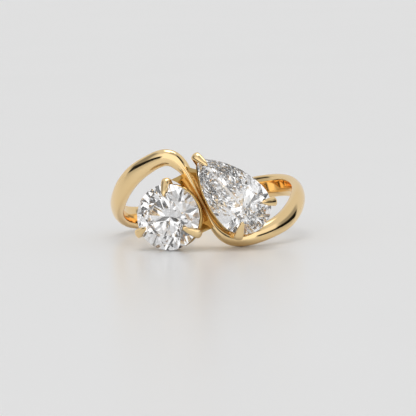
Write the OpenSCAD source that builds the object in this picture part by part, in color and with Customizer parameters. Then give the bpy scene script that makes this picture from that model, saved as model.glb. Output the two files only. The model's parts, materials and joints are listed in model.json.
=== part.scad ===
// Toi et moi bypass ring: one gold band that sweeps over a round stone and under a pear,
// lying on its side as it rests by itself. Millimetres, +Z up, the stones face -Y.
// Every piece is first built round the finger's axis, with the strand between the stones at
// turn 0, and is then laid down on the three places where the ring touches a table.

/* [Finger] */
// Inside diameter of the ring
finger_d = 17.5; // [15:0.1:20]
// Thickness of the band, from the finger to its outer face
wall = 1.2; // [1:0.05:1.8]

/* [Band] */
// Width of the band at its back
shank_w = 2.7; // [1.9:0.05:2.9]
// Width of the two arms that sweep past the stones
arm_w = 1.75; // [1.4:0.05:2]
// Width of the strand that runs between the stones
strand_w = 0.8; // [0.6:0.05:1.2]
// How far the middle of each arm swings out along the finger
arm_swing = 5.1; // [4.5:0.05:6]
// Turn of both arms towards the pear's side, in degrees
arm_turn = 6.5; // [0:0.5:7]

/* [Round stone] */
// Diameter of the round stone
round_d = 6.7; // [5.6:0.1:7.4]
// Gap between the strand's middle line and the round stone's edge
round_gap = 0.2; // [0.1:0.05:0.8]
// How far the round stone's centre lies below the middle of the ring
round_drop = 0.92; // [0.2:0.02:1.2]

/* [Pear stone] */
// Length of the pear stone, from its point to its round end
pear_l = 9.5; // [8.4:0.1:10.4]
// Width of the pear stone
pear_w = 5.7; // [5:0.1:6.4]
// Turn of the pear's point from straight up towards the round stone, in degrees
pear_turn = 28; // [20:1:36]
// Gap between the strand's middle line and the nearest edge of the pear
pear_gap = 0.55; // [0.45:0.05:1.2]
// How far the middle of the pear lies below the middle of the ring
pear_drop = 0.35; // [0:0.05:0.6]

/* [Cut] */
// Width of the table as a share of the stone's width
table_share = 0.57; // [0.53:0.01:0.62]
// Angle of the crown facets, in degrees
crown_angle = 34.5; // [31:0.5:37]
// Depth of the pavilion as a share of the stone's width
pavilion_share = 0.43; // [0.41:0.005:0.45]
// Thickness of the girdle
girdle_t = 0.2; // [0.16:0.02:0.3]

/* [Settings] */
// Gap between the lower stone point and the finger
culet_gap = 0.3; // [0.2:0.05:0.8]
// Width of a claw at its shoulder
claw_w = 0.92; // [0.7:0.02:1.1]
// Thickness of a claw
claw_t = 0.52; // [0.44:0.02:0.7]
// How far a claw's tip reaches in over the crown
claw_reach = 1.05; // [0.8:0.05:1.3]
// Depth of the upper rail below the girdle
rail_drop = 1.2; // [1.1:0.05:1.5]
// Width and height of both rails
rail_t = 0.55; // [0.45:0.05:0.7]
// Thickness of the webs that join the rails to the strand
web_t = 0.4; // [0.3:0.05:0.5]
// Gap left between each stone and the claws that hold it
seat_gap = 0.04; // [0.02:0.01:0.1]

/* [Hidden] */

gold = [0.85, 0.69, 0.40];
diamond = [0.90, 0.93, 0.96];

finger_r = finger_d / 2;
// Depth of the deeper pavilion, and the girdles' height above the finger's axis
pavilion_h = pavilion_share * max(round_d, pear_w);
seat_r = finger_r + culet_gap + pavilion_h + girdle_t / 2;

// One row for each section of half the band, from the strand to the back. The other half is
// the same, turned over. Heights are shares of arm_swing. ARM blends the width from the
// strand's to the arm's, and SHANK from the arm's to the back's. SHIFT is a share of arm_turn.
TURN = 0;
SWING = 1;
ARM = 2;
SHANK = 3;
SHIFT = 4;
half_band = [
    [0, 0, 0, 0, 0],
    [3, 0.51, 0.12, 0, 0],
    [6, 0.745, 0.40, 0, 0.05],
    [10, 0.90, 0.75, 0, 0.15],
    [15, 0.975, 0.95, 0, 0.35],
    [21, 1.00, 1.00, 0, 0.6],
    [30, 0.98, 1.00, 0, 0.9],
    [45, 0.88, 1.00, 0.20, 1],
    [60, 0.70, 1.00, 0.28, 1],
    [75, 0.50, 1.00, 0.28, 1],
    [95, 0.30, 1.00, 0.35, 0.8],
    [120, 0.11, 1.00, 0.65, 0.5],
    [150, 0, 1.00, 0.93, 0.2],
    [180, 0, 1.00, 1.00, 0],
];
band_steps = 4;
band_sides = 16;
// How far the raw band reaches in past the finger's surface before the bore is cut
bore_stock = 0.3;
// Squareness of a section's corners: 2 is an ellipse, and more is squarer
band_square = 2.7;
wire_square = 2.3;

// Claws: the place of each on the stone's edge, in degrees from the stone's right, and how far
// out its foot stands as a share of the edge's distance from the stone's middle
round_claws = [[75, 0.55], [191, 0.55], [317, 0.55]];
pear_claws = [[90, 0.8], [325, 0.55], [215.5, 1]];
claw_steps = 3;
claw_sides = 8;
foot_share = 0.55;
rail_share = 0.9;
rail_points = 40;
rail_sides = 8;
web_steps = 10;
// Where each web starts and ends: shares of arm_swing along the strand, and turns round the
// stone on its rail
round_web_ends = [[0.58, 75], [-0.62, -59]];
pear_web_ends = [[0.74, 95], [-0.80, 210]];
// The round stone's web stands out past its rail by this share at its start
round_web_out = 0.2;
// Turn of each web's root towards its own stone, in degrees
web_apart = 0.6;

// A star row: where the star facets' points lie between the girdle and the table
star_share = 0.68;
// Where the lower halves end, as a share of the way out from the culet
lower_half_share = 0.22;
mains = 8;
edge_per_half = 3;
edge_points = 2 * mains * edge_per_half;
// Turns of the main facets, from the point of the pear round to its start
round_mains = [for (i = [0:mains]) 90 + i * 360 / mains];
pear_mains = [90, 122, 172, 222, 270, 318, 368, 418, 450];

function unit(v) = v / norm(v);
function mix(a, b, t) = a + (b - a) * t;
function clockwise(v) = [v.y, -v.x];

// Superellipse section point at angle a, with half sizes of 1
function squared(a, n) = [
    sign(cos(a)) * pow(abs(cos(a)), 2 / n),
    sign(sin(a)) * pow(abs(sin(a)), 2 / n),
];

// A point at radius r from the finger's axis, turned from the strand, at height z along it
function around(r, turn, z) = [r * sin(turn), -r * cos(turn), z];

// Smooth curve through four rows, at t between the middle two
function spline(a, b, c, d, t) =
    b + t * (c - a + t * (2 * a - 5 * b + 4 * c - d + t * (3 * b - a - 3 * c + d))) / 2;

// The closed list of band rows: the half turned over, then the half itself
back_row = len(half_band) - 1;
function arm_row(i, side) = let (row = half_band[i])
    [side * row[TURN] + arm_turn * row[SHIFT], side * row[SWING], row[ARM], row[SHANK]];
band_rows = [
    for (i = [back_row - 1:-1:1]) arm_row(i, -1),
    for (i = [0:back_row]) arm_row(i, 1),
];
band_n = len(band_rows);
function band_row(i) =
    let (lap = floor(i / band_n), row = band_rows[i - lap * band_n])
    [row[TURN] + 360 * lap, row[SWING], row[ARM], row[SHANK]];
function band_at(i, t) =
    spline(band_row(i - 1), band_row(i), band_row(i + 1), band_row(i + 2), t);
band_stations = [for (i = [0:band_n - 1], s = [0:band_steps - 1]) band_at(i, s / band_steps)];
station_n = len(band_stations);

// The arm with positive turn passes under the pear, so its swing is downwards
function station_z(s) = -arm_swing * s[SWING];
function station_point(s, r) = around(r, s[TURN], station_z(s));
function station_w(s) =
    strand_w + (arm_w - strand_w) * s[ARM] + (shank_w - arm_w) * s[SHANK];
mid_r = finger_r + wall / 2;
function band_ring(i) =
    let (
        s = band_stations[i],
        before = band_stations[(i + station_n - 1) % station_n],
        after = band_stations[(i + 1) % station_n],
        out = around(1, s[TURN], 0),
        raw = station_point(after, mid_r) - station_point(before, mid_r),
        along = unit(raw - (raw * out) * out),
        across = cross(along, out),
        w = station_w(s)
    )
    [for (k = [0:band_sides - 1])
        let (
            q = squared((k + 0.5) * 360 / band_sides, band_square),
            up = q.y > 0 ? q.y * wall / 2 : q.y * (wall / 2 + bore_stock)
        )
        station_point(s, mid_r) + up * out + q.x * w / 2 * across
    ];
band_rings = [for (i = [0:station_n - 1]) band_ring(i)];

// Edge of a stone at angle a about the centre of its round end: two arcs that meet in a
// point above, and a half circle below. With l equal to w it is a full circle.
function side_r(w, l) = let (r = w / 2, h = l - r) (r * r + h * h) / (2 * r);
function edge_point(a, w, l) =
    sin(a) <= 0 ? w / 2 * [cos(a), sin(a)] :
    let (big = side_r(w, l), c = w / 2 - big)
    (c * abs(cos(a)) + sqrt(big * big - pow(c * sin(a), 2))) * [cos(a), sin(a)];
function edge_normal(a, w, l) =
    let (p = edge_point(a, w, l), side = p.x < 0 ? -1 : 1)
    abs(cos(a)) < 0.001 ? [0, sign(sin(a))] :
    p.y <= 0 ? unit(p) :
    unit(p - [side * (w / 2 - side_r(w, l)), 0]);
// From the round end's centre to the middle of the stone's length
function to_middle(w, l) = [0, (w - l) / 2];

// Height at p of the plane through three points
function plane_z(a, b, c, p) =
    let (n = cross(b - a, c - a))
    a.z - (n.x * (p.x - a.x) + n.y * (p.y - a.y)) / n.z;
// The point where two lines n * p = d meet
function meet(n1, d1, n2, d2) =
    let (k = n1.x * n2.y - n1.y * n2.x)
    [(d1 * n2.y - d2 * n1.y) / k, (n1.x * d2 - n2.x * d1) / k];

// All points of a brilliant cut: the table, the star points, the lower half points, the
// girdle's upper and lower edges and the culet, with the girdle's middle at z = 0
function brilliant(w, l, g, turn) =
    let (
        inset = (1 - table_share) / 2 * w,
        crown_h = inset * tan(crown_angle),
        deep = pavilion_share * w,
        edge = [for (i = [0:mains - 1], k = [0:2 * edge_per_half - 1])
            edge_point(mix(turn[i], turn[i + 1], k / (2 * edge_per_half)), w, l)],
        n = [for (i = [0:mains]) edge_normal(turn[i], w, l)],
        m = [for (i = [0:mains]) edge_point(turn[i], w, l)],
        table = [for (i = [0:mains - 1]) [each (m[i] - inset * n[i]), g / 2 + crown_h]],
        star = [for (i = [0:mains - 1])
            [each meet(
                n[i], n[i] * m[i] - inset * star_share,
                n[i + 1], n[i + 1] * m[i + 1] - inset * star_share
            ), g / 2 + crown_h * star_share]],
        low = [for (i = [0:mains - 1])
            let (
                d = n[i] / (n[i] * m[i]) - n[i + 1] / (n[i + 1] * m[i + 1]),
                half = edge_point((turn[i] + turn[i + 1]) / 2, w, l),
                dir = unit(clockwise(d)),
                way = dir * half > 0 ? dir : -dir,
                p = way * lower_half_share * norm(half)
            )
            [p.x, p.y, -g / 2 - deep * (n[i] * (m[i] - p)) / (n[i] * m[i])]],
        rim = [for (j = [0:edge_points - 1])
            let (
                i = floor(j / (2 * edge_per_half)),
                k = j % (2 * edge_per_half),
                first = k < edge_per_half ? 2 * i : 2 * i + 1,
                a = edge[(first * edge_per_half) % edge_points],
                b = edge[((first + 1) * edge_per_half) % edge_points],
                corner = k % edge_per_half == 0
            )
            [
                corner ? g / 2 :
                    plane_z(star[i], [a.x, a.y, g / 2], [b.x, b.y, g / 2], edge[j]),
                corner ? -g / 2 :
                    plane_z(low[i], [a.x, a.y, -g / 2], [b.x, b.y, -g / 2], edge[j])
            ]],
        upper = [for (j = [0:edge_points - 1]) [each edge[j], rim[j][0]]],
        lower = [for (j = [0:edge_points - 1]) [each edge[j], rim[j][1]]]
    )
    [for (p = concat(table, star, low, upper, lower, [[0, 0, -g / 2 - deep]]))
        p + [each to_middle(w, l), 0]];

// Faces of a brilliant, in the order of its points
star_0 = mains;
low_0 = 2 * mains;
upper_0 = 3 * mains;
lower_0 = upper_0 + edge_points;
culet_0 = lower_0 + edge_points;
function ring_i(start, n, i) = start + (i + n) % n;
brilliant_faces = concat(
    [[for (i = [mains - 1:-1:0]) i]],
    [for (i = [0:mains - 1]) [i, ring_i(0, mains, i + 1), star_0 + i]],
    [for (i = [0:mains - 1])
        [i, star_0 + i, upper_0 + 2 * edge_per_half * i, ring_i(star_0, mains, i - 1)]],
    [for (i = [0:mains - 1], h = [0:1])
        [star_0 + i, for (k = [edge_per_half:-1:0])
            ring_i(upper_0, edge_points, (2 * i + h) * edge_per_half + k)]],
    [for (j = [0:edge_points - 1])
        [upper_0 + j, ring_i(upper_0, edge_points, j + 1),
            ring_i(lower_0, edge_points, j + 1), lower_0 + j]],
    [for (i = [0:mains - 1], h = [0:1])
        [low_0 + i, for (k = [0:edge_per_half])
            ring_i(lower_0, edge_points, (2 * i + h) * edge_per_half + k)]],
    [for (i = [0:mains - 1])
        [culet_0, ring_i(low_0, mains, i - 1), lower_0 + 2 * edge_per_half * i, low_0 + i]]
);

// Where each stone sits: turn round the finger, height along it and the stone's own turn
round_turn = -(round_d / 2 + round_gap) / seat_r * 180 / PI;
pear_left = min([for (a = [0:5:355])
    let (p = edge_point(a, pear_w, pear_l) + to_middle(pear_w, pear_l))
    p.x * cos(pear_turn) - p.y * sin(pear_turn)]);
pear_side = (pear_gap - pear_left) / seat_r * 180 / PI;

// A stone's own frame: x to its right, y up along the finger and z out of its table
function seated(p, turn, drop, spin) =
    let (
        x = p.x * cos(spin) - p.y * sin(spin),
        y = p.x * sin(spin) + p.y * cos(spin)
    )
    around(seat_r + p.z, turn, 0) + x * [cos(turn), sin(turn), 0] + [0, 0, y - drop];
function on_round(points) = [for (p = points) seated(p, round_turn, round_drop, 0)];
function on_pear(points) = [for (p = points) seated(p, pear_side, pear_drop, pear_turn)];

round_points = on_round(brilliant(round_d, round_d, girdle_t, round_mains));
pear_points = on_pear(brilliant(pear_w, pear_l, girdle_t, pear_mains));

// Height of a claw's middle that clears the crown, at d in from the edge with thickness t.
// The halves beside the main facets are the steepest, by about a quarter.
foot_drop = seat_r - finger_r - rail_t;
crown_rise = 1.25 * tan(crown_angle);
function over_crown(d, t) =
    girdle_t / 2 + seat_gap + d * crown_rise + t / 2 * norm([1, crown_rise]);
// A claw's sections, from its foot on the lower rail to its tip over the crown
function claw_rows(foot) = [
    // share of the way out, out past the edge, up from the girdle, width, thickness
    [foot, 0, -foot_drop, 0.8 * claw_w, claw_t],
    [mix(foot, rail_share, 0.8), 0, -rail_drop, 0.85 * claw_w, claw_t],
    [1, claw_t * 0.5 + seat_gap, -girdle_t, 0.95 * claw_w, claw_t],
    [1, claw_t * 0.5 + seat_gap, claw_t * 0.5, claw_w, claw_t * 0.95],
    for (r = [[0.26, 0.85, 0.8], [0.75, 0.55, 0.55], [1, 0.28, 0.3]])
        [1, -claw_reach * r[0], over_crown(claw_reach * r[0], claw_t * r[2]),
            claw_w * r[1], claw_t * r[2]],
];
function claw_at(rows, i, t) =
    let (last = len(rows) - 1)
    spline(rows[max(i - 1, 0)], rows[i], rows[min(i + 1, last)], rows[min(i + 2, last)], t);
function claw_rings(a, foot, w, l) =
    let (
        p = edge_point(a, w, l) + to_middle(w, l),
        n = edge_normal(a, w, l),
        side = [-n.y, n.x, 0],
        rows = claw_rows(foot),
        last = len(rows) - 1,
        stations = [
            for (i = [0:last - 1], s = [0:claw_steps - 1]) claw_at(rows, i, s / claw_steps),
            rows[last]
        ],
        path = [for (s = stations) [each (s[0] * p + s[1] * n), s[2]]]
    )
    [for (i = [0:len(path) - 1])
        let (
            s = stations[i],
            along = unit(path[min(i + 1, len(path) - 1)] - path[max(i - 1, 0)]),
            flat = cross(side, along)
        )
        [for (k = [0:claw_sides - 1])
            let (q = squared((k + 0.5) * 360 / claw_sides, wire_square))
            path[i] + q.x * s[3] / 2 * side + q.y * s[4] / 2 * flat
        ]
    ];

// A rail's sections: a smaller copy of the stone's edge, drop below the girdle. Every other
// section is turned a little, so that neighbouring faces never share a plane.
function rail_rings(share, drop, w, l) =
    [for (j = [0:rail_points - 1])
        let (
            a = 90 + j * 360 / rail_points,
            p = share * (edge_point(a, w, l) + to_middle(w, l)),
            n = edge_normal(a, w, l)
        )
        [for (k = [0:rail_sides - 1])
            let (
                turn = (k + 0.5 + 0.1 * (j % 2)) * 360 / rail_sides,
                q = squared(turn, wire_square) * rail_t / 2
            )
            [each (p + q.x * n), q.y - drop]
        ]
    ];
// A point on the upper rail's middle, or that share further out towards the edge
function rail_point(a, w, l, further) =
    [each ((rail_share + further) * (edge_point(a, w, l) + to_middle(w, l))), -rail_drop];

// A web's sections: from the strand's middle at height z out to a point on a rail
function strand_turn(z) = lookup(z, [
    for (i = [5:-1:0]) let (r = arm_row(i, 1)) [-arm_swing * r[SWING], r[TURN]],
    for (i = [1:5]) let (r = arm_row(i, -1)) [-arm_swing * r[SWING], r[TURN]],
]);
function web_ring(z, rail, side) =
    let (
        turn = strand_turn(z),
        inner = around(finger_r + wall * 0.45, turn + side * web_apart, z),
        thick = side * around(web_t / 2, turn, 0)
    )
    [inner - thick, inner + thick, rail + thick, rail - thick];

// Skin over a list of sections: closed on itself, or with a flat face at each end
module skin(rings, closed) {
    n = len(rings);
    m = len(rings[0]);
    laps = closed ? n - 1 : n - 2;
    polyhedron(
        points = [for (r = rings, p = r) p],
        faces = concat(
            [for (i = [0:laps], k = [0:m - 1])
                let (j = (i + 1) % n, h = (k + 1) % m)
                each [[i * m + k, i * m + h, j * m + h], [i * m + k, j * m + h, j * m + k]]],
            closed ? [] : [[for (k = [m - 1:-1:0]) k], [for (k = [0:m - 1]) (n - 1) * m + k]]
        ),
        convexity = 10
    );
}

// Three places carry the ring on a table: the arm under the pear, the round stone's girdle
// and the band's back on the left. Their plane is found in a few rounds.
under_pear = [for (i = [0:station_n - 1])
    if (band_stations[i][TURN] > 0 && band_stations[i][TURN] < 90) each band_rings[i]];
under_back = [for (i = [0:station_n - 1])
    if (band_stations[i][TURN] < -100) each band_rings[i]];
under_round = [for (i = [upper_0:culet_0 - 1]) round_points[i]];
function lowest(points, up) =
    let (h = [for (p = points) p * up], low = min(h))
    [for (i = [0:len(h) - 1]) if (h[i] == low) points[i]][0];
function level(up, rounds) =
    rounds == 0 ? up :
    let (
        a = lowest(under_pear, up),
        b = lowest(under_round, up),
        c = lowest(under_back, up),
        n = unit(cross(b - a, c - a))
    )
    level(n.z < 0 ? -n : n, rounds - 1);
up = level([0, 0, 1], 8);
lay = [
    [1 - up.x * up.x / (1 + up.z), -up.x * up.y / (1 + up.z), -up.x],
    [-up.x * up.y / (1 + up.z), 1 - up.y * up.y / (1 + up.z), -up.y],
    up,
];
// All outer points, laid down, give the middle of the ring's outline on the table
claw_list = [
    for (c = round_claws) each [for (r = claw_rings(c[0], c[1], round_d, round_d)) on_round(r)],
    for (c = pear_claws) each [for (r = claw_rings(c[0], c[1], pear_w, pear_l)) on_pear(r)],
];
laid = [for (p = concat([for (r = band_rings) each r], [for (r = claw_list) each r],
    round_points, pear_points)) lay * p];
function middle(i) = (min([for (p = laid) p[i]]) + max([for (p = laid) p[i]])) / 2;
onto_table = [-middle(0), -middle(1), -min([for (p = laid) p.z])];

module laid_down() {
    translate(onto_table)
        multmatrix([for (r = lay) [each r, 0]])
            children();
}

module claws(list, w, l, is_pear) {
    for (c = list) {
        rings = claw_rings(c[0], c[1], w, l);
        skin([for (r = rings) is_pear ? on_pear(r) : on_round(r)], false);
    }
}

module rails(w, l, is_pear) {
    for (r = [[rail_share, rail_drop], [foot_share, foot_drop]]) {
        rings = rail_rings(r[0], r[1], w, l);
        skin([for (s = rings) is_pear ? on_pear(s) : on_round(s)], true);
    }
}

// A web follows its stone's rail from the upper claw to the lower one beside the strand
module web(ends, out, w, l, is_pear) {
    skin([for (i = [0:web_steps])
        let (
            t = i / web_steps,
            z = mix(ends[0][0], ends[1][0], t) * arm_swing,
            a = mix(ends[0][1], ends[1][1], t),
            p = rail_point(a, w, l, out * max(0, 1 - 4 * t))
        )
        web_ring(z, is_pear ? on_pear([p])[0] : on_round([p])[0], is_pear ? 1 : -1)], false);
}

module ring_band_and_settings() {
    color(gold)
        laid_down()
            difference() {
                // Resized to its own size, which makes the soldered metal one faceted body
                resize([0, 0, 0])
                    union() {
                        skin(band_rings, true);
                        claws(round_claws, round_d, round_d, false);
                        claws(pear_claws, pear_w, pear_l, true);
                        rails(round_d, round_d, false);
                        rails(pear_w, pear_l, true);
                        web(round_web_ends, round_web_out, round_d, round_d, false);
                        web(pear_web_ends, 0, pear_w, pear_l, true);
                    }
                // The finger's bore, whose seam lies at the back of the band
                rotate([0, 0, 90])
                    cylinder(r = finger_r, h = 4 * arm_swing, center = true, $fn = 180);
            }
}

module round_stone() {
    color(diamond)
        laid_down()
            polyhedron(points = round_points, faces = brilliant_faces);
}

module pear_stone() {
    color(diamond)
        laid_down()
            polyhedron(points = pear_points, faces = brilliant_faces);
}

ring_band_and_settings();
round_stone();
pear_stone();
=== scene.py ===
"""Toi et moi bypass ring: polished gold and cut stones on a pale studio floor.

The gold repeats the sizes and formulas of the CAD source, at a finer step, and replaces its
solid. The two stones stay as packed and get their material here.
"""

import json
import math

import bmesh
import bpy
import numpy as np
from mathutils import Matrix, Vector


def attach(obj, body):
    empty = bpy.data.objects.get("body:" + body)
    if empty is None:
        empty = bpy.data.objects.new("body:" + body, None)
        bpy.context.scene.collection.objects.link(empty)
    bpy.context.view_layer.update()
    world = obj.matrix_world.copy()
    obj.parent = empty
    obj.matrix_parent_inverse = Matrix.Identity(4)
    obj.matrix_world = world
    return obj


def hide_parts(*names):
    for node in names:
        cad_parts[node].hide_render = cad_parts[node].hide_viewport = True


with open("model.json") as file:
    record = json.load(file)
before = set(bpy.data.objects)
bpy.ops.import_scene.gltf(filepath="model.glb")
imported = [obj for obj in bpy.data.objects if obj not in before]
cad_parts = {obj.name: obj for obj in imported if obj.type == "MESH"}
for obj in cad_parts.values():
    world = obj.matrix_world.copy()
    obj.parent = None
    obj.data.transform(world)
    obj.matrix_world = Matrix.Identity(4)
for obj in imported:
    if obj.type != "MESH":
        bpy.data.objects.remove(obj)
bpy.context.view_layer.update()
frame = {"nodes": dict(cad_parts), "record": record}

MM = 0.001

# Sizes of the CAD source, in millimetres and degrees
FINGER_D = 17.5
WALL = 1.2
SHANK_W = 2.7
ARM_W = 1.75
STRAND_W = 0.8
ARM_SWING = 5.1
ARM_TURN = 6.5
ROUND_D = 6.7
ROUND_GAP = 0.2
ROUND_DROP = 0.92
PEAR_L = 9.5
PEAR_W = 5.7
PEAR_TURN = 28
PEAR_GAP = 0.55
PEAR_DROP = 0.35
CROWN_ANGLE = 34.5
PAVILION_SHARE = 0.43
GIRDLE_T = 0.2
CULET_GAP = 0.3
CLAW_W = 0.92
CLAW_T = 0.52
CLAW_REACH = 1.05
RAIL_DROP = 1.2
RAIL_T = 0.55
WEB_T = 0.4
SEAT_GAP = 0.04
BORE_STOCK = 0.3
FOOT_SHARE = 0.55
RAIL_SHARE = 0.9
# The halves beside the crown's main facets are the steepest, by about a quarter
HALVES_STEEPER = 1.25

# One row for each section of half the band, from the strand to the back: turn, swing, arm,
# shank and shift, as in the source. The arms keep a little more width beside the strand here.
HALF_BAND = [
    (0, 0, 0, 0, 0),
    (3, 0.51, 0.24, 0, 0),
    (6, 0.745, 0.62, 0, 0.05),
    (10, 0.90, 0.86, 0, 0.15),
    (15, 0.975, 0.95, 0, 0.35),
    (21, 1.00, 1.00, 0, 0.6),
    (30, 0.98, 1.00, 0, 0.9),
    (45, 0.88, 1.00, 0.20, 1),
    (60, 0.70, 1.00, 0.28, 1),
    (75, 0.50, 1.00, 0.28, 1),
    (95, 0.30, 1.00, 0.35, 0.8),
    (120, 0.11, 1.00, 0.65, 0.5),
    (150, 0, 1.00, 0.93, 0.2),
    (180, 0, 1.00, 1.00, 0),
]
# How many of those rows, from the first, belong to the strand
STRAND_ROWS = 6

# Each claw's place on its stone's edge, and how far out its foot stands, as a share
ROUND_CLAWS = [(75, 0.55), (191, 0.55), (317, 0.55)]
PEAR_CLAWS = [(90, 0.8), (325, 0.55), (215.5, 1)]
# Each web: its start and end along the strand as shares of ARM_SWING, its start and end round
# the stone on its rail, and how far it stands out past that rail at its start
ROUND_WEB = (0.58, -0.62, 75, -59, 0.2)
PEAR_WEB = (0.74, -0.80, 95, 210, 0.0)
# Turn between each web's root and the strand's middle, and the root's height in the wall
WEB_APART = 0.6
WEB_ROOT_SHARE = 0.45

# Finer shape than the source's: squareness of the sections, where 2 is an ellipse, the round
# along the bore's edges, and the angle from which an edge shows as sharp
BAND_SQUARE = 2.0
BORE_SQUARE = 2.7
WIRE_SQUARE = 2.05
BORE_ROUND = 0.2
SHARP_ANGLE = 40
BAND_STEPS = 24
BAND_SIDES = 48
BAND_SMOOTHINGS = 40
CLAW_STEPS = 8
CLAW_SIDES = 24
CLAW_SMOOTHINGS = 3
TIP_RINGS = 6
TIP_LENGTH = 0.55  # share of the claw's thickness at its end
RAIL_POINTS = 120
RAIL_SIDES = 16
WEB_STEPS = 40

FINGER_R = FINGER_D / 2
SEAT_R = FINGER_R + CULET_GAP + PAVILION_SHARE * max(ROUND_D, PEAR_W) + GIRDLE_T / 2
FOOT_DROP = SEAT_R - FINGER_R - RAIL_T
CROWN_RISE = HALVES_STEEPER * math.tan(math.radians(CROWN_ANGLE))

# How the ring lies on the table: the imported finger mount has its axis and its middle
finger = next(m for m in frame["record"]["mounts"] if m["name"] == "finger")
axis = finger["axis"]
UP = np.array([-axis[0], -axis[1], axis[2]])
ONTO_TABLE = np.array(finger["pos_m"]) / MM
LAY = np.array(
    [
        [1 - UP[0] ** 2 / (1 + UP[2]), -UP[0] * UP[1] / (1 + UP[2]), -UP[0]],
        [-UP[0] * UP[1] / (1 + UP[2]), 1 - UP[1] ** 2 / (1 + UP[2]), -UP[1]],
        UP,
    ]
)


def laid(points):
    """Points in millimetres round the finger's axis, as metres in the row frame."""
    return (np.asarray(points, float) @ LAY.T + ONTO_TABLE) * MM


def unit(v):
    return v / np.linalg.norm(v)


def squared(turns, n):
    """Points of a superellipse with half sizes of 1, at these turns in degrees."""
    c, s = np.cos(np.radians(turns)), np.sin(np.radians(turns))
    return np.stack(
        [np.sign(c) * np.abs(c) ** (2 / n), np.sign(s) * np.abs(s) ** (2 / n)], 1
    )


def section_turns(sides):
    return (np.arange(sides) + 0.5) * 360 / sides


def spline(a, b, c, d, t):
    """From b to c as t goes from 0 to 1, with a before them and d after them."""
    return b + t * (c - a + t * (2 * a - 5 * b + 4 * c - d + t * (3 * b - a - 3 * c + d))) / 2


def add_to_scene(name, mesh):
    ob = bpy.data.objects.new(name, mesh)
    bpy.context.scene.collection.objects.link(ob)
    return ob


def mesh_object(name, points, faces, material):
    mesh = bpy.data.meshes.new(name)
    mesh.from_pydata([tuple(p) for p in points], [], faces)
    mesh.validate()
    bm = bmesh.new()
    bm.from_mesh(mesh)
    bmesh.ops.recalc_face_normals(bm, faces=bm.faces)
    bm.to_mesh(mesh)
    bm.free()
    mesh.shade_smooth()
    mesh.set_sharp_from_angle(angle=math.radians(SHARP_ANGLE))
    mesh.materials.append(material)
    return add_to_scene(name, mesh)


def skin(rings, closed):
    """Points and faces over a list of sections, closed on itself or with flat ends."""
    n, m = len(rings), len(rings[0])
    points = [p for ring in rings for p in ring]
    faces = []
    for i in range(n if closed else n - 1):
        j = (i + 1) % n
        for k in range(m):
            h = (k + 1) % m
            faces.append((i * m + k, j * m + k, j * m + h, i * m + h))
    if not closed:
        faces.append(tuple(range(m)))
        faces.append(tuple((n - 1) * m + k for k in range(m - 1, -1, -1)))
    return points, faces


def merged(parts):
    """Several skins as one list of points and faces."""
    points, faces = [], []
    for part_points, part_faces in parts:
        start = len(points)
        points.extend(part_points)
        faces.extend(tuple(i + start for i in face) for face in part_faces)
    return points, faces


def around(r, turn, z):
    """The point at radius r and height z on the finger's axis, turned from the strand."""
    a = np.radians(turn)
    return np.array([r * np.sin(a), -r * np.cos(a), z])


# Band


def arm_row(i, side):
    turn, swing, arm, shank, shift = HALF_BAND[i]
    return [side * turn + ARM_TURN * shift, side * swing, arm, shank]


def band_stations():
    """Turn, swing, arm and shank along the whole band, evened out so that gloss runs smoothly."""
    last = len(HALF_BAND) - 1
    rows = [arm_row(i, -1) for i in range(last - 1, 0, -1)]
    rows += [arm_row(i, 1) for i in range(last + 1)]
    n = len(rows)

    def row(i):
        lap, k = divmod(i, n)
        return np.array([rows[k][0] + 360 * lap] + rows[k][1:], float)

    stations = np.array(
        [
            spline(row(i - 1), row(i), row(i + 1), row(i + 2), t / BAND_STEPS)
            for i in range(n)
            for t in range(BAND_STEPS)
        ]
    )
    for _ in range(BAND_SMOOTHINGS):
        before, after = np.roll(stations, 1, 0), np.roll(stations, -1, 0)
        before[0, 0] -= 360
        after[-1, 0] += 360
        stations = (before + 2 * stations + after) / 4
    return stations


def bored(points):
    """The same points pushed out to the finger's surface, met with a small round."""
    r = np.hypot(points[:, 0], points[:, 1])
    past = r - FINGER_R
    r_bored = FINGER_R + (past + np.sqrt(past * past + BORE_ROUND**2)) / 2
    points[:, :2] *= (r_bored / r)[:, None]
    return points


def band_rings():
    stations = band_stations()
    mid_r = FINGER_R + WALL / 2
    path = np.array([around(mid_r, turn, -ARM_SWING * swing) for turn, swing, _, _ in stations])
    turns = section_turns(BAND_SIDES)
    section = np.where(
        turns[:, None] < 180, squared(turns, BAND_SQUARE), squared(turns, BORE_SQUARE)
    )
    depth = np.where(section[:, 1] > 0, WALL / 2, WALL / 2 + BORE_STOCK) * section[:, 1]
    rings = []
    for i, (turn, _, arm, shank) in enumerate(stations):
        out = around(1, turn, 0)
        chord = path[(i + 1) % len(path)] - path[i - 1]
        along = unit(chord - (chord @ out) * out)
        across = np.cross(along, out)
        width = STRAND_W + (ARM_W - STRAND_W) * arm + (SHANK_W - ARM_W) * shank
        ring = path[i] + depth[:, None] * out + (section[:, :1] * width / 2) * across
        rings.append(bored(ring))
    return rings


# Edges and seats of the stones, as in the source


def side_r(width, length):
    """Radius of a pear's two side arcs, which run from its round end to its point."""
    r, reach = width / 2, length - width / 2
    return (r * r + reach * reach) / (2 * r)


def edge_point(turn, width, length):
    """A stone's edge at a turn round the middle of its round end. A round stone is as long as wide."""
    c, s = math.cos(math.radians(turn)), math.sin(math.radians(turn))
    if s <= 0:
        return np.array([c, s]) * width / 2
    r = side_r(width, length)
    off = width / 2 - r
    return np.array([c, s]) * (off * abs(c) + math.sqrt(r * r - (off * s) ** 2))


def edge_normal(turn, width, length):
    p = edge_point(turn, width, length)
    if abs(math.cos(math.radians(turn))) < 0.001:
        return np.array([0, math.copysign(1, math.sin(math.radians(turn)))])
    if p[1] <= 0:
        return unit(p)
    side = -1 if p[0] < 0 else 1
    return unit(p - np.array([side * (width / 2 - side_r(width, length)), 0]))


def to_middle(width, length):
    return np.array([0, (width - length) / 2])


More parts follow.
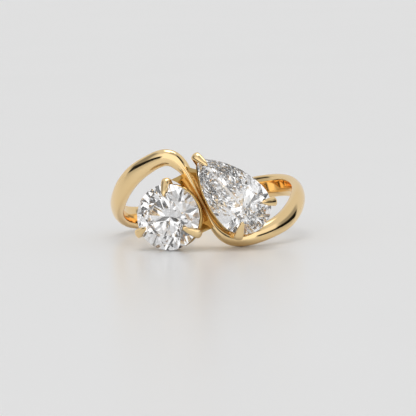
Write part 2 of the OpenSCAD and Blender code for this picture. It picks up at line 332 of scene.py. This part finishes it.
def centred_edge(turn, width, length):
    return edge_point(turn, width, length) + to_middle(width, length)


def spun(x, y, spin):
    c, s = math.cos(math.radians(spin)), math.sin(math.radians(spin))
    return x * c - y * s, x * s + y * c


def seated(points, turn, drop, spin):
    """A stone's own points, x right, y up along the finger and z out, put on the ring."""
    p = np.asarray(points, float).reshape(-1, 3)
    x, y = spun(p[:, 0], p[:, 1], spin)
    out = around(1, turn, 0)
    right = np.array([-out[1], out[0], 0])
    up = np.array([0, 0, 1])
    return (
        (SEAT_R + p[:, 2])[:, None] * out + x[:, None] * right + (y - drop)[:, None] * up
    )


ROUND_SIDE = -math.degrees((ROUND_D / 2 + ROUND_GAP) / SEAT_R)
PEAR_LEFT = min(
    spun(*centred_edge(turn, PEAR_W, PEAR_L), PEAR_TURN)[0] for turn in range(0, 360, 5)
)
PEAR_SIDE = math.degrees((PEAR_GAP - PEAR_LEFT) / SEAT_R)


def on_round(points):
    return seated(points, ROUND_SIDE, ROUND_DROP, 0)


def on_pear(points):
    return seated(points, PEAR_SIDE, PEAR_DROP, PEAR_TURN)


# Settings


def over_crown(d, t):
    """Height of a claw's middle that clears the crown, at d in from the edge, t thick."""
    return GIRDLE_T / 2 + SEAT_GAP + d * CROWN_RISE + t / 2 * math.hypot(1, CROWN_RISE)


def claw_rows(foot):
    """A claw's sections, from its foot on the lower rail to its tip over the crown."""
    rows = [
        # share of the way out, out past the edge, up from the girdle, width, thickness
        (foot, 0, -FOOT_DROP, 0.8 * CLAW_W, CLAW_T),
        (foot + (RAIL_SHARE - foot) * 0.8, 0, -RAIL_DROP, 0.85 * CLAW_W, CLAW_T),
        (1, CLAW_T * 0.5 + SEAT_GAP, -GIRDLE_T, 0.95 * CLAW_W, CLAW_T),
        (1, CLAW_T * 0.5 + SEAT_GAP, CLAW_T * 0.5, CLAW_W, CLAW_T * 0.95),
    ]
    for share, wide, thick in ((0.26, 0.85, 0.8), (0.75, 0.55, 0.55), (1, 0.28, 0.3)):
        d = CLAW_REACH * share
        rows.append((1, -d, over_crown(d, CLAW_T * thick), CLAW_W * wide, CLAW_T * thick))
    return np.array(rows)


def claw_stations(foot):
    rows = claw_rows(foot)
    last = len(rows) - 1

    def row(i):
        return rows[min(max(i, 0), last)]

    stations = [
        spline(row(i - 1), row(i), row(i + 1), row(i + 2), t / CLAW_STEPS)
        for i in range(last)
        for t in range(CLAW_STEPS)
    ]
    stations = np.array(stations + [rows[last]])
    for _ in range(CLAW_SMOOTHINGS):
        stations[1:-1] = (stations[:-2] + 2 * stations[1:-1] + stations[2:]) / 4
    return stations


def claw(turn, foot, width, length, place):
    """One claw: a tapering bar up beside the stone and over its crown, with a round tip."""
    edge = centred_edge(turn, width, length)
    normal = edge_normal(turn, width, length)
    side = np.array([-normal[1], normal[0], 0])
    stations = claw_stations(foot)
    path = np.array([[*(s[0] * edge + s[1] * normal), s[2]] for s in stations])
    last = len(path) - 1
    section = squared(section_turns(CLAW_SIDES), WIRE_SQUARE)
    rings = []
    for i, (_, _, _, wide, thick) in enumerate(stations):
        along = unit(path[min(i + 1, last)] - path[max(i - 1, 0)])
        flat = np.cross(side, along)
        rings.append(
            path[i]
            + section[:, :1] * wide / 2 * side
            + section[:, 1:] * thick / 2 * flat
        )
    # The tip is rounded off with a few closing rings
    end, end_ring = path[-1], rings[-1]
    along = unit(path[-1] - path[-2])
    tip_length = TIP_LENGTH * stations[-1][4]
    for k in range(1, TIP_RINGS + 1):
        a = k / TIP_RINGS * math.pi / 2
        rings.append(
            end + (end_ring - end) * max(math.cos(a), 0.02) + along * tip_length * math.sin(a)
        )
    return skin([place(ring) for ring in rings], False)


def rail(share, drop, width, length, place):
    """A ring of wire round the stone, at a share of its edge and a drop below its girdle."""
    section = squared(section_turns(RAIL_SIDES), WIRE_SQUARE) * RAIL_T / 2
    rings = []
    for j in range(RAIL_POINTS):
        turn = 90 + j * 360 / RAIL_POINTS
        p = share * centred_edge(turn, width, length)
        normal = edge_normal(turn, width, length)
        rings.append(place([[*(p + q[0] * normal), q[1] - drop] for q in section]))
    return skin(rings, True)


def strand_turn(z):
    """Turn of the strand's middle line at height z along the finger."""
    rows = [arm_row(i, 1) for i in range(STRAND_ROWS - 1, -1, -1)]
    rows += [arm_row(i, -1) for i in range(1, STRAND_ROWS)]
    return np.interp(z, [-ARM_SWING * r[1] for r in rows], [r[0] for r in rows])


def web_ring(z, rail_at, side):
    """A web's section at height z along the finger, from its root in the strand to rail_at."""
    turn = strand_turn(z)
    root = around(FINGER_R + WALL * WEB_ROOT_SHARE, turn + side * WEB_APART, z)
    thick = around(WEB_T / 2, turn, 0)
    return [root - thick, root + thick, rail_at + thick, rail_at - thick]


def web(ends, width, length, place, side):
    """A plate from the strand out to the rail. It stands past the rail over its first quarter."""
    z_start, z_end, turn_start, turn_end, further = ends
    rings = []
    for i in range(WEB_STEPS + 1):
        t = i / WEB_STEPS
        z = (z_start + (z_end - z_start) * t) * ARM_SWING
        turn = turn_start + (turn_end - turn_start) * t
        share = RAIL_SHARE + further * max(0, 1 - 4 * t)
        rail_at = place([[*(share * centred_edge(turn, width, length)), -RAIL_DROP]])[0]
        rings.append(web_ring(z, rail_at, side))
    return skin(rings, False)


# Materials


def nodes_of(name):
    material = bpy.data.materials.new(name)
    material.use_nodes = True
    tree = material.node_tree
    return material, tree, tree.nodes["Principled BSDF"]


def add(tree, kind, **values):
    """A new node. Each value goes to the input of that name, or else to the node's setting."""
    node = tree.nodes.new(kind)
    for key, value in values.items():
        if key in node.inputs.keys():
            node.inputs[key].default_value = value
        else:
            setattr(node, key, value)
    return node


def colour_ramp(tree, dark_at, dark, light_at, light):
    ramp = add(tree, "ShaderNodeValToRGB")
    low, high = ramp.color_ramp.elements
    low.position, low.color = dark_at, (*dark, 1)
    high.position, high.color = light_at, (*light, 1)
    return ramp


def to_range(tree, low, high):
    node = add(tree, "ShaderNodeMapRange")
    node.inputs["To Min"].default_value = low
    node.inputs["To Max"].default_value = high
    return node


def polished_gold(name, pale, deep, smooth, dull):
    """Yellow gold that clouds faintly between two colours, with fine buffing marks."""
    material, tree, shader = nodes_of(name)
    shader.inputs["Metallic"].default_value = 1.0
    at = add(tree, "ShaderNodeTexCoord")
    cloud = add(tree, "ShaderNodeTexNoise", Scale=260.0, Detail=3.0)
    ramp = colour_ramp(tree, 0.3, deep, 0.7, pale)
    buff = add(tree, "ShaderNodeTexNoise", Scale=2400.0, Detail=4.0, Roughness=0.6)
    rough = to_range(tree, smooth, dull)
    bump = add(tree, "ShaderNodeBump", Strength=0.05, Distance=0.00001)
    link = tree.links.new
    link(at.outputs["Object"], cloud.inputs["Vector"])
    link(at.outputs["Object"], buff.inputs["Vector"])
    link(cloud.outputs["Fac"], ramp.inputs["Fac"])
    link(ramp.outputs["Color"], shader.inputs["Base Color"])
    link(buff.outputs["Fac"], rough.inputs["Value"])
    link(rough.outputs["Result"], shader.inputs["Roughness"])
    link(buff.outputs["Fac"], bump.inputs["Height"])
    link(bump.outputs["Normal"], shader.inputs["Normal"])
    return material


def cut_diamond():
    """Clear stone: strong refraction between flat facets, with the faintest polish marks."""
    material, tree, shader = nodes_of("cut_diamond")
    shader.inputs["Transmission Weight"].default_value = 1.0
    shader.inputs["IOR"].default_value = 2.42
    at = add(tree, "ShaderNodeTexCoord")
    speck = add(tree, "ShaderNodeTexNoise", Scale=900.0, Detail=2.0)
    tint = colour_ramp(tree, 0.35, (0.93, 0.935, 0.95), 0.65, (1, 1, 1))
    rough = to_range(tree, 0.0, 0.012)
    link = tree.links.new
    link(at.outputs["Object"], speck.inputs["Vector"])
    link(speck.outputs["Fac"], tint.inputs["Fac"])
    link(tint.outputs["Color"], shader.inputs["Base Color"])
    link(speck.outputs["Fac"], rough.inputs["Value"])
    link(rough.outputs["Result"], shader.inputs["Roughness"])
    return material


def studio_floor():
    """Pale, faintly glossy table top."""
    material, tree, shader = nodes_of("studio_floor")
    shader.inputs["Roughness"].default_value = 0.28
    shader.inputs["Specular IOR Level"].default_value = 0.45
    at = add(tree, "ShaderNodeTexCoord")
    grain = add(tree, "ShaderNodeTexNoise", Scale=30.0, Detail=2.0)
    ramp = colour_ramp(tree, 0, (0.80, 0.80, 0.80), 1, (0.82, 0.82, 0.82))
    tree.links.new(at.outputs["Object"], grain.inputs["Vector"])
    tree.links.new(grain.outputs["Fac"], ramp.inputs["Fac"])
    tree.links.new(ramp.outputs["Color"], shader.inputs["Base Color"])
    return material


gold = polished_gold("polished_gold", (0.98, 0.735, 0.40), (0.96, 0.70, 0.36), 0.03, 0.08)
# Darker gold for the baskets' rails and webs: painted shade, for the shade that falls in the recesses
# between the stones and the band
painted_shade_gold = polished_gold("painted_shade_gold", (0.66, 0.455, 0.185), (0.58, 0.38, 0.14), 0.06, 0.15)
diamond = cut_diamond()

# Pieces

METAL = "ring_band_and_settings"


def metal_piece(name, parts, material):
    points, faces = merged(parts)
    ob = mesh_object(name, laid(points), faces, material)
    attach(ob, "root")
    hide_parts(METAL)


metal_piece("band", [skin(band_rings(), True)], gold)
for stone, width, length, place, claws, web_ends, side in (
    ("round", ROUND_D, ROUND_D, on_round, ROUND_CLAWS, ROUND_WEB, -1),
    ("pear", PEAR_W, PEAR_L, on_pear, PEAR_CLAWS, PEAR_WEB, 1),
):
    basket = [
        rail(RAIL_SHARE, RAIL_DROP, width, length, place),
        rail(FOOT_SHARE, FOOT_DROP, width, length, place),
        web(web_ends, width, length, place, side),
    ]
    # The baskets take the darker gold, which is painted recess shade
    metal_piece(stone + "_basket", basket, painted_shade_gold)
    metal_piece(stone + "_claws", [claw(turn, foot, width, length, place) for turn, foot in claws], gold)

for node in ("round_stone", "pear_stone"):
    ob = frame["nodes"][node]
    if not ob.material_slots:
        ob.data.materials.append(diamond)
    for material_slot in ob.material_slots:
        material_slot.material = diamond

# Studio

FLOOR_HALF = 1.5  # metres

floor_mesh = bpy.data.meshes.new("floor")
corners = ((-1, -1), (1, -1), (1, 1), (-1, 1))
floor_mesh.from_pydata([(x * FLOOR_HALF, y * FLOOR_HALF, 0) for x, y in corners], [], [(0, 1, 2, 3)])
floor_mesh.materials.append(studio_floor())
add_to_scene("floor", floor_mesh)

# The studio as the polished gold mirrors it: panels as directions round the ring, each from and
# to a bearing (0 toward the camera, positive to the right) and a height, with soft edges, all
# in degrees. A later panel covers an earlier one.
STUDIO_PALE = 0.72
STUDIO = [
    # from, to, low, high, soft, brightness
    (-400, 400, 72, 100, 5, 3.6),  # soft box overhead
    (-54, 80, 14, 40, 5, 1.0),  # wide soft box in front
    (-42, 52, -6, 48, 5, 1.15),  # its taller and brighter middle
    (-22, 68, 51, 82, 5, 0.50),  # dim ceiling over the camera
    (22, 38, 31, 56, 3, 0.03),  # dark frame between box and ceiling
    (34, 56, 40, 60, 3, 0.03),
    (-8, 20, -6, 14, 4, 0.06),  # the camera
    (-114, -68, 14, 48, 6, 0.30),  # dim sides
    (84, 124, 12, 30, 6, 0.33),
    (-100, -37, -6, 16, 3, 0.02),  # dark low strips at both sides
    (50, 84, -6, 11, 3, 0.01),
    (80, 124, -6, 15, 3, 0.01),
]
# Light that leaves a stone is lifted, and also meets dark gaps between the panels, which make
# the facets sparkle
STONE_LIFT = 0.2
STONE_GAP_DEPTH = 1.15
STONE_GAP_SCALE = 3.4
STONE_GAP_SEED = 3.0
STONE_GAP_FROM = 0.50
STONE_GAP_TO = 0.54
# Light that reaches the floor is evened out by a share toward one level, for soft shadows
EVEN_SHARE = 0.45
EVEN_LEVEL = 0.82
# The camera itself sees a plain pale backdrop
BACKDROP = 0.745


def studio_world():
    """Pale studio all round, with soft boxes above and in front and dark panels between."""
    world = bpy.data.worlds.new("studio")
    bpy.context.scene.world = world
    world.use_nodes = True
    tree = world.node_tree
    lit = tree.nodes["Background"]
    link = tree.links.new

    def maths(operation, *values):
        node = add(tree, "ShaderNodeMath", operation=operation)
        for i, value in enumerate(values):
            if isinstance(value, (int, float)):
                node.inputs[i].default_value = value
            else:
                link(value, node.inputs[i])
        return node.outputs["Value"]

    def mixed(level, other, share):
        """level + share * (other - level)"""
        return maths("MULTIPLY_ADD", share, maths("SUBTRACT", other, level), level)

    def step(source, low, high, up):
        """Smooth step from 0 to 1, or from 1 to 0, as the source goes from low to high."""
        node = add(tree, "ShaderNodeMapRange", interpolation_type="SMOOTHSTEP")
        node.inputs["From Min"].default_value = low
        node.inputs["From Max"].default_value = high
        node.inputs["To Min"].default_value = 0.0 if up else 1.0
        node.inputs["To Max"].default_value = 1.0 if up else 0.0
        link(source, node.inputs["Value"])
        return node.outputs["Result"]

    def between(source, low, high, soft):
        """1 from low to high, in degrees, and 0 outside, with soft edges."""
        rise = step(source, math.radians(low - soft), math.radians(low + soft), True)
        fall = step(source, math.radians(high - soft), math.radians(high + soft), False)
        return maths("MULTIPLY", rise, fall)

    at = add(tree, "ShaderNodeTexCoord")
    xyz = add(tree, "ShaderNodeSeparateXYZ")
    link(at.outputs["Generated"], xyz.inputs["Vector"])
    bearing = maths("ARCTAN2", xyz.outputs["X"], maths("MULTIPLY", xyz.outputs["Y"], -1.0))
    height = maths("ARCSINE", xyz.outputs["Z"])
    level = STUDIO_PALE
    for left, right, low, high, soft, brightness in STUDIO:
        inside = maths(
            "MULTIPLY", between(bearing, left, right, soft), between(height, low, high, soft)
        )
        level = mixed(level, brightness, inside)

    path = add(tree, "ShaderNodeLightPath")
    gaps = add(
        tree,
        "ShaderNodeTexNoise",
        noise_dimensions="4D",
        Scale=STONE_GAP_SCALE,
        Detail=1.0,
        W=STONE_GAP_SEED,
    )
    link(at.outputs["Generated"], gaps.inputs["Vector"])
    gap = step(gaps.outputs["Fac"], STONE_GAP_FROM, STONE_GAP_TO, True)
    from_stone = path.outputs["Is Transmission Ray"]
    lift = maths("MULTIPLY_ADD", from_stone, STONE_LIFT, 1.0)
    dark = maths("MULTIPLY", maths("MULTIPLY", gap, from_stone), STONE_GAP_DEPTH)
    level = maths("MULTIPLY", level, maths("SUBTRACT", lift, dark))
    level = mixed(level, EVEN_LEVEL, maths("MULTIPLY", path.outputs["Is Diffuse Ray"], EVEN_SHARE))
    lit.inputs["Color"].default_value = (1, 1, 1, 1)
    link(level, lit.inputs["Strength"])

    backdrop = add(tree, "ShaderNodeBackground", Color=(BACKDROP, BACKDROP, BACKDROP, 1))
    mix = add(tree, "ShaderNodeMixShader")
    link(path.outputs["Is Camera Ray"], mix.inputs["Fac"])
    link(lit.outputs["Background"], mix.inputs[1])
    link(backdrop.outputs["Background"], mix.inputs[2])
    link(mix.outputs["Shader"], tree.nodes["World Output"].inputs["Surface"])


studio_world()

# The camera stands where the photo's did: nearly level, a little to the stones' right
DISTANCE = 300.0  # millimetres
PIXELS_PER_MM = 9.56
FRAME_PX = 416
SENSOR_MM = 36
VIEW_AZ = -3.34
VIEW_EL = 6.63
VIEW_ROLL = 1.05
AIM_DOWN = 0.84  # millimetres, from the middle of the finger's axis
AIM_RIGHT = 0.05


def photo_camera():
    az, el = math.radians(VIEW_AZ), math.radians(VIEW_EL)
    ahead = Vector((math.sin(az) * math.cos(el), math.cos(az) * math.cos(el), -math.sin(el)))
    level = ahead.cross(Vector((0, 0, 1))).normalized()
    right = Matrix.Rotation(math.radians(VIEW_ROLL), 3, ahead) @ level
    top = right.cross(ahead)
    aim = Vector(ONTO_TABLE * MM) - top * (AIM_DOWN * MM) + right * (AIM_RIGHT * MM)
    lens = bpy.data.cameras.new("camera")
    lens.sensor_width = SENSOR_MM
    lens.lens = DISTANCE * PIXELS_PER_MM * SENSOR_MM / FRAME_PX
    lens.clip_start = 0.01
    camera = add_to_scene("camera", lens)
    turned = Matrix((right, top, -ahead)).transposed().to_4x4()
    camera.matrix_world = Matrix.Translation(aim - ahead * DISTANCE * MM) @ turned
    return camera


scene = bpy.context.scene
scene.camera = photo_camera()
scene.view_settings.view_transform = "Standard"
scene.cycles.max_bounces = 24
scene.cycles.glossy_bounces = 16
scene.cycles.transmission_bounces = 20
scene.cycles.sample_clamp_indirect = 4.0
